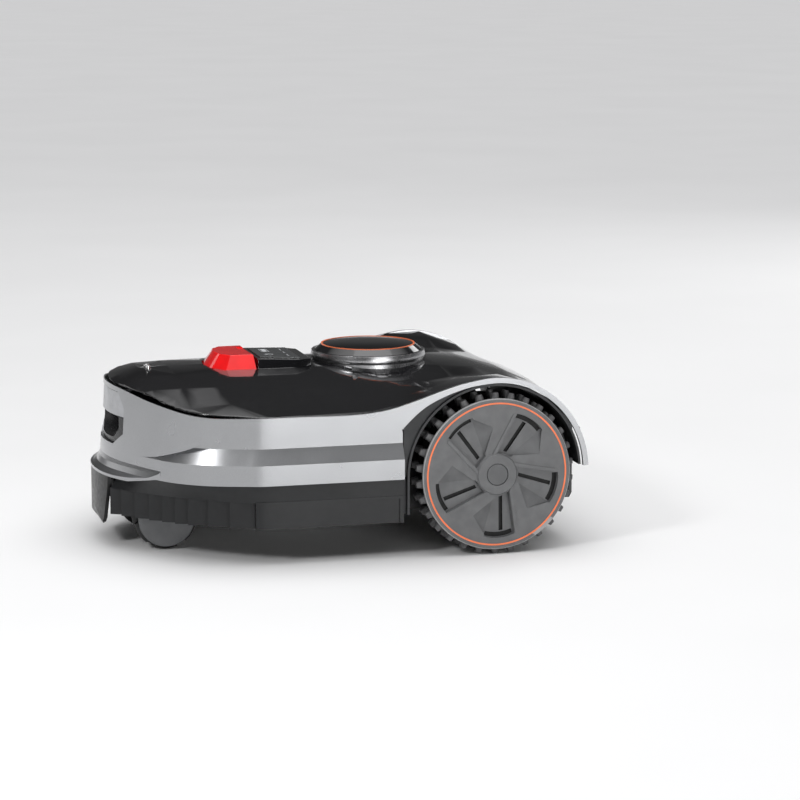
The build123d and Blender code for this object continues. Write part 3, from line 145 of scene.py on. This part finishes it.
# ---------------------------------------------------------------- finishes
class Finish:
    """One procedural finish: its material and the nodes that vary it over the surface."""

    def __init__(self, name, colour, roughness, metallic=0.0):
        self.material = bpy.data.materials.new(name)
        self.material.use_nodes = True
        self.nodes = self.material.node_tree.nodes
        self.links = self.material.node_tree.links
        self.shader = self.nodes["Principled BSDF"]
        self.shader.inputs["Base Color"].default_value = (*colour, 1.0)
        self.shader.inputs["Roughness"].default_value = roughness
        self.shader.inputs["Metallic"].default_value = metallic
        if not metallic:
            self.shader.inputs["Specular IOR Level"].default_value = 0.35
        self.place = self.nodes.new("ShaderNodeTexCoord").outputs["Object"]
        self.colour = colour
        self.roughness = roughness
        self.height = None

    def noise(self, size, detail=3.0, stretch=(1.0, 1.0, 1.0)):
        """Noise of that feature size in metres, drawn out along an axis by stretch."""
        mapping = self.nodes.new("ShaderNodeMapping")
        mapping.inputs["Scale"].default_value = [1.0 / (size * s) for s in stretch]
        texture = self.nodes.new("ShaderNodeTexNoise")
        texture.inputs["Scale"].default_value = 1.0
        texture.inputs["Detail"].default_value = detail
        self.links.new(self.place, mapping.inputs["Vector"])
        self.links.new(mapping.outputs["Vector"], texture.inputs["Vector"])
        return texture.outputs["Fac"]

    def spread(self, factor, low, high, start=0.3, end=0.7):
        """Factor's middle range mapped onto low to high."""
        step = self.nodes.new("ShaderNodeMapRange")
        step.inputs["From Min"].default_value = start
        step.inputs["From Max"].default_value = end
        step.inputs["To Min"].default_value = low
        step.inputs["To Max"].default_value = high
        self.links.new(factor, step.inputs["Value"])
        return step.outputs["Result"]

    def vary_colour(self, factor, amount, start=0.3, end=0.7):
        """Base colour drifts lighter and darker by amount."""
        ramp = self.nodes.new("ShaderNodeValToRGB")
        ramp.color_ramp.elements[0].position = start
        ramp.color_ramp.elements[1].position = end
        ramp.color_ramp.elements[0].color = (*[c * (1 - amount) for c in self.colour], 1.0)
        ramp.color_ramp.elements[1].color = (*[min(1.0, c * (1 + amount)) for c in self.colour], 1.0)
        self.links.new(factor, ramp.inputs["Fac"])
        self.links.new(ramp.outputs["Color"], self.shader.inputs["Base Color"])
        return self

    def vary_roughness(self, factor, amount):
        """Roughness drifts by amount either way."""
        result = self.spread(factor, max(0.02, self.roughness - amount), min(1.0, self.roughness + amount))
        self.links.new(result, self.shader.inputs["Roughness"])
        return self

    def grain(self, factor, depth, strength=0.5):
        """Relief of that depth in metres."""
        bump = self.nodes.new("ShaderNodeBump")
        bump.inputs["Distance"].default_value = depth
        bump.inputs["Strength"].default_value = strength
        self.links.new(factor, bump.inputs["Height"])
        if self.height is not None:
            self.links.new(self.height, bump.inputs["Normal"])
        self.height = bump.outputs["Normal"]
        self.links.new(self.height, self.shader.inputs["Normal"])
        return self

    def coat(self, weight, roughness):
        """Clear layer on top."""
        self.shader.inputs["Coat Weight"].default_value = weight
        self.shader.inputs["Coat Roughness"].default_value = roughness
        return self


def metallic_paint(name, colour, flake):
    """Silver finish with fine flakes under a clear coat."""
    finish = Finish(name, colour, 0.30, metallic=0.92)
    finish.vary_colour(finish.noise(flake, 1.0), 0.10)
    finish.vary_roughness(finish.noise(0.05, 2.0), 0.03)
    finish.grain(finish.noise(flake, 1.0), 0.00002, 0.10)
    return finish.coat(0.45, 0.06)


def gloss_plastic(name, colour, roughness=0.10, coat=0.8):
    """Polished plastic with the faint ripple of a moulded face."""
    finish = Finish(name, colour, roughness)
    finish.vary_colour(finish.noise(0.03, 2.0), 0.08)
    finish.vary_roughness(finish.noise(0.012, 4.0), 0.03)
    finish.grain(finish.noise(0.03, 1.0), 0.00004, 0.06)
    return finish.coat(coat, 0.03)


def grained_plastic(name, colour, roughness, grain, depth=0.00008):
    """Moulded plastic with a fine spark-eroded grain and slight blotches of wear."""
    finish = Finish(name, colour, roughness)
    finish.vary_colour(finish.noise(0.02, 4.0), 0.12)
    finish.vary_roughness(finish.noise(0.006, 4.0), 0.07)
    finish.grain(finish.noise(grain, 2.0), depth, 0.35)
    return finish


def rubber_finish(name, colour, roughness=0.62):
    """Rubber with dust in its pores."""
    finish = Finish(name, colour, roughness)
    finish.vary_colour(finish.noise(0.008, 6.0), 0.30)
    finish.vary_roughness(finish.noise(0.004, 4.0), 0.10)
    finish.grain(finish.noise(0.0012, 3.0), 0.00012, 0.4)
    return finish


def brushed_metal(name, colour, roughness, stretch):
    """Metal with fine marks drawn out along one axis."""
    finish = Finish(name, colour, roughness, metallic=1.0)
    marks = finish.noise(0.0005, 3.0, stretch)
    finish.vary_colour(marks, 0.10)
    finish.vary_roughness(marks, 0.08)
    finish.grain(marks, 0.00002, 0.25)
    return finish


def make_finishes(scene):
    """Every slot's finish by the slot's name."""
    sizes = scene.mower_sizes
    colours = scene.mower_colours
    grain = sizes.grain
    made = {
        "silver_shell": metallic_paint("silver_shell", colours.silver, sizes.flake),
        "visor": grained_plastic("visor", (0.36, 0.365, 0.38), 0.34, grain, 0.00003).coat(0.2, 0.2),
        "black_gloss": gloss_plastic("black_gloss", colours.black),
        "display": gloss_plastic("display", (0.055, 0.058, 0.06), 0.28, 0.5),
        "mark": gloss_plastic("mark", (0.62, 0.64, 0.66), 0.4, 0.2),
        "dome_trim": brushed_metal("dome_trim", (0.42, 0.42, 0.43), 0.28, (1.0, 1.0, 6.0)),
        "orange_line": gloss_plastic("orange_line", colours.orange, 0.35, 0.2),
        "sensor_pin": brushed_metal("sensor_pin", (0.55, 0.55, 0.55), 0.2, (1.0, 1.0, 8.0)),
        "red_button": gloss_plastic("red_button", colours.red, 0.16, 0.7),
        "black_satin": grained_plastic("black_satin", (0.012, 0.012, 0.013), 0.42, grain),
        "bumper": grained_plastic("bumper", (0.007, 0.007, 0.0075), 0.36, grain, 0.00005),
        "rubber": rubber_finish("rubber", (0.014, 0.014, 0.014)),
        "tub": grained_plastic("tub", (0.016, 0.016, 0.017), 0.52, grain),
        "skirt": grained_plastic("skirt", colours.skirt, 0.36, grain, 0.00004),
        "battery": grained_plastic("battery", (0.02, 0.035, 0.07), 0.35, 0.002),
        "board": gloss_plastic("board", (0.01, 0.09, 0.03), 0.3, 0.4),
        "bezel": grained_plastic("bezel", (0.014, 0.014, 0.015), 0.30, grain, 0.00003),
        "lens": gloss_plastic("lens", (0.006, 0.006, 0.014), 0.04, 1.0),
        "steel": brushed_metal("steel", (0.52, 0.52, 0.53), 0.28, (6.0, 1.0, 6.0)),
        "steel_disc": brushed_metal("steel_disc", (0.42, 0.43, 0.44), 0.34, (8.0, 1.0, 1.0)),
        "blade": brushed_metal("blade", (0.62, 0.62, 0.63), 0.24, (8.0, 1.0, 1.0)),
        "brass": brushed_metal("brass", (0.78, 0.57, 0.25), 0.22, (8.0, 1.0, 1.0)),
        "liner": grained_plastic("liner", (0.028, 0.029, 0.031), 0.45, grain),
        "motor": grained_plastic("motor", (0.05, 0.05, 0.052), 0.4, 0.0015),
        "wheel_grey": grained_plastic("wheel_grey", colours.wheel, 0.38, grain, 0.00004),
        # near-black finish for the deep faces of the wheel slots: painted shade in the recesses
        "painted_slot_shade": grained_plastic("painted_slot_shade", (0.006, 0.006, 0.006), 0.6, grain),
        "cap_grey": grained_plastic("cap_grey", (0.10, 0.102, 0.105), 0.34, grain, 0.00003),
        "rim_grey": grained_plastic("rim_grey", colours.wheel_rim, 0.34, grain, 0.00003),
        "tyre": rubber_finish("tyre", colours.tyre),
        # lighter grey rubber for the tyre studs: a painted highlight standing in for the sheen on the lugs
        "stud_highlight_rubber": rubber_finish("stud_highlight_rubber", (0.085, 0.085, 0.087), 0.42),
        "omni_grey": grained_plastic("omni_grey", (0.10, 0.103, 0.107), 0.36, grain, 0.00004),
        "roller": rubber_finish("roller", colours.tyre, 0.5),
    }
    return {name: finish.material for name, finish in made.items()}


FINISHES = {}


def finish_of(name):
    """The material of that slot, made on first use."""
    if not FINISHES:
        FINISHES.update(make_finishes(bpy.context.scene))
    return FINISHES[name]


# ---------------------------------------------------------------- working with pieces
def select_only(piece):
    """Deselect everything else and make this piece active."""
    bpy.ops.object.select_all(action="DESELECT")
    piece.select_set(True)
    bpy.context.view_layer.objects.active = piece


def apply_modifier(piece, kind, **settings):
    """Add a modifier with these settings and apply it."""
    modifier = piece.modifiers.new(kind.lower(), kind)
    for setting, value in settings.items():
        setattr(modifier, setting, value)
    select_only(piece)
    bpy.ops.object.modifier_apply(modifier=modifier.name)


def smooth(piece):
    """Smooth shading that keeps the sharp edges and lets the large faces lead."""
    select_only(piece)
    bpy.ops.object.shade_smooth_by_angle(angle=radians(SHARP_ANGLE), keep_sharp_edges=True)
    apply_modifier(piece, "WEIGHTED_NORMAL", mode="FACE_AREA", weight=50, keep_sharp=True)


def finished_copy(node, edge=0.0, blended=False):
    """A piece that stands for the node. With an edge its corners are rounded, and blended smooths over its
    facets; with neither it keeps the node's own surface normals."""
    source = frame["nodes"][node]
    piece = bpy.data.objects.new(node + "_piece", source.data.copy())
    bpy.context.scene.collection.objects.link(piece)
    piece.data.materials.clear()
    piece.data.materials.append(finish_of(SLOT_OF[node]))
    if edge or blended:
        select_only(piece)
        bpy.ops.object.mode_set(mode="EDIT")
        bpy.ops.mesh.select_all(action="SELECT")
        bpy.ops.mesh.remove_doubles(threshold=WELD)
        bpy.ops.mesh.dissolve_degenerate(threshold=SLIVER)
        if edge:
            bpy.ops.mesh.dissolve_limited(angle_limit=radians(FLAT_ANGLE))
        bpy.ops.object.mode_set(mode="OBJECT")
        if edge:
            apply_modifier(piece, "BEVEL", width=edge, segments=2, limit_method="ANGLE",
                           angle_limit=radians(ROUND_ANGLE), use_clamp_overlap=True, harden_normals=False)
        smooth(piece)
    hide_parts(node)
    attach(piece, BODY_OF[node])
    return piece


def paint_faces(piece, finish_name, wanted):
    """Give the faces that pass the test a second finish."""
    piece.data.materials.append(finish_of(finish_name))
    place = len(piece.data.materials) - 1
    for face in piece.data.polygons:
        if wanted(face):
            face.material_index = place


def settle(piece, body, material):
    """Put a modelled piece's place into its mesh, then give it its body, slot and finish."""
    select_only(piece)
    bpy.ops.object.transform_apply(location=True, rotation=True, scale=True)
    piece.data.materials.clear()
    piece.data.materials.append(finish_of(material))
    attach(piece, body)


class MowerOperator(bpy.types.Operator):
    """Shared ground of the mower's operators."""

    bl_idname = "mower.base"
    bl_label = "Mower"
    bl_options = {"REGISTER", "UNDO"}

    @classmethod
    def poll(cls, context):
        return context.scene is not None


class MowerShell(MowerOperator):
    """Silver shell and the visor in its nose"""

    bl_idname = "mower.shell"
    bl_label = "Shell"

    def execute(self, context):
        sizes = context.scene.mower_sizes
        finished_copy("body_shell")
        finished_copy("nose_visor", sizes.fine_round)
        return {"FINISHED"}


class MowerCover(MowerOperator):
    """Gloss black top cover with its rain sensor pins"""

    bl_idname = "mower.cover"
    bl_label = "Top cover"

    def execute(self, context):
        finished_copy("top_cover", blended=True)
        finished_copy("rain_sensor", context.scene.mower_sizes.fine_round)
        return {"FINISHED"}


class MowerStopButton(MowerOperator):
    """Red stop button, its spring and its switch"""

    bl_idname = "mower.stop_button"
    bl_label = "Stop button"

    def execute(self, context):
        sizes = context.scene.mower_sizes
        finished_copy("stop_button", sizes.edge_round)
        spring = finished_copy("stop_spring")
        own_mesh(spring)
        finished_copy("stop_switch", sizes.fine_round)
        return {"FINISHED"}


def raised_bar(x, y, z, width, depth, tilt):
    """Thin printed bar lying on the display's sloping face, centred at the point."""
    bpy.ops.object.select_all(action="DESELECT")
    bpy.ops.mesh.primitive_cube_add(size=1.0, location=(x, y, z), rotation=(tilt, 0, 0),
                                    scale=(width, depth, MARK_HEIGHT))
    bar = bpy.context.object
    bpy.ops.object.mode_set(mode="EDIT")
    bpy.ops.mesh.select_all(action="SELECT")
    bpy.ops.mesh.bevel(offset=MARK_HEIGHT * 0.45, segments=1)
    bpy.ops.object.mode_set(mode="OBJECT")
    return bar


def raised_ring(x, y, z, radius, width, tilt):
    """Thin printed ring lying on the display's sloping face."""
    bpy.ops.object.select_all(action="DESELECT")
    bpy.ops.mesh.primitive_circle_add(vertices=48, radius=radius, fill_type="NGON", location=(x, y, z),
                                      rotation=(tilt, 0, 0))
    ring = bpy.context.object
    bpy.ops.object.mode_set(mode="EDIT")
    bpy.ops.mesh.select_all(action="SELECT")
    bpy.ops.mesh.inset(thickness=width)
    bpy.ops.mesh.delete(type="FACE")
    bpy.ops.object.mode_set(mode="OBJECT")
    apply_modifier(ring, "SOLIDIFY", thickness=MARK_HEIGHT, offset=0.0)
    return ring


def joined(name, parts):
    """One piece made of several."""
    bpy.ops.object.select_all(action="DESELECT")
    for part in parts:
        part.select_set(True)
    bpy.context.view_layer.objects.active = parts[0]
    bpy.ops.object.join()
    parts[0].name = name
    return parts[0]


def display_marks():
    """Charge bars, a power ring and three key dashes on the display."""
    low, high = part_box("display_window")
    front, rear = low[1], high[1]
    tilt = -DISPLAY_FALL / (rear - front)

    def height(y):
        return high[2] + tilt * (y - front)

    parts = []
    cell_y = front + 0.020
    for step in range(4):
        parts.append(raised_bar(-0.026 + step * 0.0052, cell_y, height(cell_y), 0.0036, 0.0075, tilt))
    for edge_y in (cell_y - 0.0062, cell_y + 0.0062):
        parts.append(raised_bar(-0.0182, edge_y, height(edge_y), 0.0245, 0.0007, tilt))
    for edge_x in (-0.0305, -0.0059):
        parts.append(raised_bar(edge_x, cell_y, height(cell_y), 0.0007, 0.0131, tilt))
    power_y = front + 0.020
    parts.append(raised_ring(0.022, power_y, height(power_y), 0.0062, 0.0009, tilt))
    parts.append(raised_bar(0.022, power_y - 0.0052, height(power_y - 0.0052), 0.0010, 0.0052, tilt))
    key_y = rear - 0.014
    for x in (-0.028, 0.0, 0.028):
        parts.append(raised_bar(x, key_y, height(key_y), 0.013, 0.0012, tilt))
    marks = joined("display_marks", parts)
    settle(marks, "chassis", "mark")


class MowerPanel(MowerOperator):
    """Control panel with its display and key marks"""

    bl_idname = "mower.control_panel"
    bl_label = "Control panel"

    def execute(self, context):
        sizes = context.scene.mower_sizes
        finished_copy("control_panel", sizes.edge_round)
        finished_copy("display_window", sizes.fine_round)
        display_marks()
        return {"FINISHED"}


class MowerDome(MowerOperator):
    """Antenna dome with its trim and light ring"""

    bl_idname = "mower.dome"
    bl_label = "Antenna dome"

    def execute(self, context):
        sizes = context.scene.mower_sizes
        finished_copy("antenna_dome")
        finished_copy("dome_trim_ring", sizes.fine_round)
        finished_copy("dome_light_ring")
        return {"FINISHED"}


class MowerCamera(MowerOperator):
    """Camera in the nose with its funnel bezel"""

    bl_idname = "mower.camera"
    bl_label = "Nose camera"

    def execute(self, context):
        sizes = context.scene.mower_sizes
        finished_copy("camera_bezel", sizes.fine_round)
        finished_copy("camera_housing", sizes.fine_round)
        finished_copy("camera_lens")
        return {"FINISHED"}


class MowerSkirts(MowerOperator):
    """Side skirts with their slats, and the front bumper"""

    bl_idname = "mower.skirts"
    bl_label = "Skirts and bumper"

    def execute(self, context):
        sizes = context.scene.mower_sizes
        for side in ("left", "right"):
            finished_copy("side_skirt_" + side)
        finished_copy("front_bumper")
        finished_copy("bumper_buffers", sizes.fine_round)
        return {"FINISHED"}


class MowerDriveWheels(MowerOperator):
    """Driven wheels: discs, orange rings, caps, tyres and axles"""

    bl_idname = "mower.drive_wheels"
    bl_label = "Driven wheels"

    def execute(self, context):
        sizes = context.scene.mower_sizes
        for side in ("left", "right"):
            disc = finished_copy("wheel_disc_" + side, sizes.fine_round)
            low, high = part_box("wheel_disc_" + side)
            middle = Vector((0.0, (low[1] + high[1]) / 2, (low[2] + high[2]) / 2))

            def on_rim(face):
                offset = face.center - middle
                return Vector((offset.y, offset.z)).length > 0.1088

            paint_faces(disc, "rim_grey", on_rim)
            outside = high[0] if side == "left" else -low[0]

            # faces deep in the slots are painted near black, a painted shade where the recesses fall dark
            def in_slot(face):
                depth = outside - abs(face.center.x)
                offset = face.center - middle
                return depth > 0.0113 and 0.030 < Vector((offset.y, offset.z)).length < 0.100

            paint_faces(disc, "painted_slot_shade", in_slot)
            finished_copy("wheel_ring_" + side)
            finished_copy("hub_cap_" + side, sizes.fine_round)
            tyre = finished_copy("tyre_" + side)

            # faces out on the studs take the lighter rubber, a painted highlight on the lugs
            def on_stud(face):
                offset = face.center - middle
                return Vector((offset.y, offset.z)).length > 0.1128

            paint_faces(tyre, "stud_highlight_rubber", on_stud)
            finished_copy("drive_axle_" + side)
        return {"FINISHED"}


class MowerOmniWheels(MowerOperator):
    """Front omni wheels on their brackets"""

    bl_idname = "mower.omni_wheels"
    bl_label = "Omni wheels"

    def execute(self, context):
        sizes = context.scene.mower_sizes
        for side in ("left", "right"):
            finished_copy("omni_hub_" + side, sizes.fine_round)
            finished_copy("omni_rollers_" + side)
            finished_copy("omni_bracket_" + side, sizes.edge_round)
        finished_copy("omni_axles", sizes.fine_round)
        return {"FINISHED"}


class MowerCutter(MowerOperator):
    """Cutting disc with its blades, motor and height mechanism"""

    bl_idname = "mower.cutter"
    bl_label = "Cutting system"

    def execute(self, context):
        sizes = context.scene.mower_sizes
        finished_copy("cutter_disc", sizes.fine_round)
        finished_copy("blade_screws")
        for number in range(1, 7):
            finished_copy("blade_" + str(number))
        for node in ("cutting_motor", "height_carriage", "height_motor"):
            finished_copy(node, sizes.fine_round)
        finished_copy("height_leadscrew")
        finished_copy("guide_rods")
        return {"FINISHED"}


class MowerChassis(MowerOperator):
    """Chassis tub with what it carries: battery, board, drives, liners and rear panel"""

    bl_idname = "mower.chassis"
    bl_label = "Chassis"

    def execute(self, context):
        sizes = context.scene.mower_sizes
        finished_copy("chassis_tub")
        finished_copy("rear_panel", sizes.edge_round)
        for node in ("battery_hatch", "battery_pack", "control_board", "charging_contacts", "hatch_screws"):
            finished_copy(node, sizes.fine_round)
        for side in ("left", "right"):
            finished_copy("arch_liner_" + side)
            finished_copy("drive_motor_" + side, sizes.fine_round)
        return {"FINISHED"}


# ---------------------------------------------------------------- studio
def soft_light(name, place, target, width, height, power):
    """Rectangular soft light aimed at a point."""
    bpy.ops.object.light_add(type="AREA", location=place)
    light = bpy.context.object
    light.name = name
    light.data.shape = "RECTANGLE"
    light.data.size = width
    light.data.size_y = height
    light.data.energy = power
    aim = Vector(target) - Vector(place)
    light.rotation_euler = aim.to_track_quat("-Z", "Y").to_euler()


def studio_world(scene):
    """Surround graded by height: dim from the horizon to mid height, bright overhead."""
    world = bpy.data.worlds.new("studio")
    world.use_nodes = True
    nodes, links = world.node_tree.nodes, world.node_tree.links
    background = nodes["Background"]
    place = nodes.new("ShaderNodeTexCoord")
    split = nodes.new("ShaderNodeSeparateXYZ")
    ramp = nodes.new("ShaderNodeValToRGB")
    stops = ((0.0, 0.30), (0.06, 0.10), (0.30, 0.03), (0.64, 0.08), (0.80, 1.0), (1.0, 2.2))
    while len(ramp.color_ramp.elements) < len(stops):
        ramp.color_ramp.elements.new(0.5)
    for element, (position, value) in zip(ramp.color_ramp.elements, stops):
        element.position = position
        element.color = (value, value, value * 1.01, 1.0)
    links.new(place.outputs["Generated"], split.inputs["Vector"])
    links.new(split.outputs["Z"], ramp.inputs["Fac"])
    links.new(ramp.outputs["Color"], background.inputs["Color"])
    background.inputs["Strength"].default_value = 1.0
    scene.world = world


class MowerStage(MowerOperator):
    """Pale floor, soft lights and the camera"""

    bl_idname = "mower.stage"
    bl_label = "Studio"

    def execute(self, context):
        scene = context.scene
        bpy.ops.object.select_all(action="DESELECT")
        bpy.ops.mesh.primitive_plane_add(size=scene.mower_sizes.floor_width, location=(0, 0, 0))
        floor = bpy.context.object
        floor.name = "floor"
        pale = Finish("floor_pale", (0.90, 0.90, 0.90), 0.7)
        pale.vary_colour(pale.noise(0.6, 2.0), 0.012)
        floor.data.materials.append(pale.material)
        studio_world(scene)
        for light in LIGHTS:
            soft_light(*light)
        turn, rise = radians(CAMERA_TURN), radians(CAMERA_RISE)
        towards = Vector((cos(turn) * cos(rise), -sin(turn) * cos(rise), sin(rise)))
        data = bpy.data.cameras.new("camera")
        data.lens = CAMERA_LENS
        data.sensor_width = 36.0
        data.clip_end = 1000.0
        camera = bpy.data.objects.new("camera", data)
        camera.location = CAMERA_PLACE
        camera.rotation_euler = (-towards).to_track_quat("-Z", "Y").to_euler()
        scene.collection.objects.link(camera)
        scene.camera = camera
        scene.view_settings.view_transform = "Standard"
        return {"FINISHED"}


class MowerSidebar(bpy.types.Panel):
    """Lists the mower's operators and settings"""

    bl_idname = "VIEW3D_PT_mower"
    bl_label = "Robotic Lawn Mower"
    bl_space_type = "VIEW_3D"
    bl_region_type = "UI"
    bl_category = "Mower"

    def draw(self, context):
        layout = self.layout
        for settings in (context.scene.mower_sizes, context.scene.mower_colours):
            for name in settings.bl_rna.properties.keys():
                if name not in ("rna_type", "name"):
                    layout.prop(settings, name)
        for operator in OPERATORS:
            layout.operator(operator.bl_idname)


OPERATORS = (MowerShell, MowerCover, MowerStopButton, MowerPanel, MowerDome, MowerCamera, MowerSkirts,
             MowerDriveWheels, MowerOmniWheels, MowerCutter, MowerChassis, MowerStage)
CLASSES = (MowerSizes, MowerColours) + OPERATORS + (MowerSidebar,)


def register():
    for entry in CLASSES:
        bpy.utils.register_class(entry)
    bpy.types.Scene.mower_sizes = bpy.props.PointerProperty(type=MowerSizes)
    bpy.types.Scene.mower_colours = bpy.props.PointerProperty(type=MowerColours)


def unregister():
    del bpy.types.Scene.mower_colours
    del bpy.types.Scene.mower_sizes
    for entry in reversed(CLASSES):
        bpy.utils.unregister_class(entry)


def main():
    register()
    for operator in OPERATORS:
        group, name = operator.bl_idname.split(".")
        getattr(getattr(bpy.ops, group), name)()


if __name__ == "__main__":
    main()
